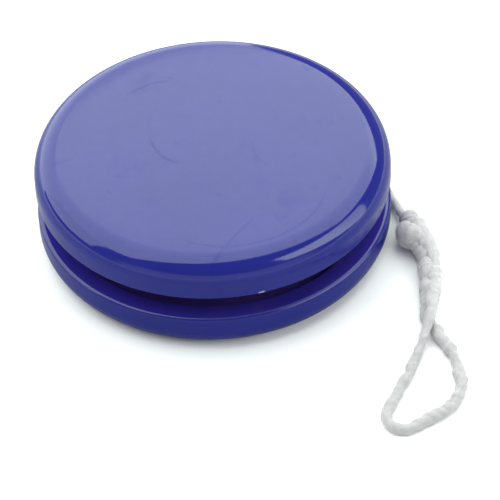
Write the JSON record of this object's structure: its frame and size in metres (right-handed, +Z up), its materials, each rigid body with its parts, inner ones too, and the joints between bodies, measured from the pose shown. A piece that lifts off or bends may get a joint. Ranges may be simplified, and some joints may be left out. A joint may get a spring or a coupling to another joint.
{
  "type": "yo-yo",
  "caption": "Slim round toy yo-yo with glossy blue halves, a steel axle and a cotton string that ends in a knotted finger loop.",
  "frame": {"origin": "middle of the lower face, on the surface that the yo-yo lies on", "axes": "+Z up along the axle, square to both faces; +X to the side where the finger loop lies, -Y to the front"},
  "size_m": [0.066, 0.0786, 0.0174],
  "materials": {
    "blue_plastic": "high gloss injection-moulded plastic, opaque royal blue, very fine handling scratches",
    "disc_plastic": "gloss injection-moulded plastic, the same royal blue, a little duller inside the groove",
    "steel": "bright drawn steel pin",
    "cotton": "soft white twisted cotton string, slightly fluffy"
  },
  "bodies": {
    "halves": {"lower_shell": "blue_plastic", "lower_disc": "disc_plastic", "upper_shell": "blue_plastic", "upper_disc": "disc_plastic", "axle": "steel"},
    "string": {"slip_loop": "cotton", "string_winding": "cotton", "string_lead": "cotton", "string_knot": "cotton", "finger_loop": "cotton"}
  },
  "joints": [
    {"name": "string_slip", "type": "hinge", "parent": "halves", "child": "string", "pos_m": [0, 0, 0.0087], "axis": [0, 0, 1], "continuous": true}
  ]
}
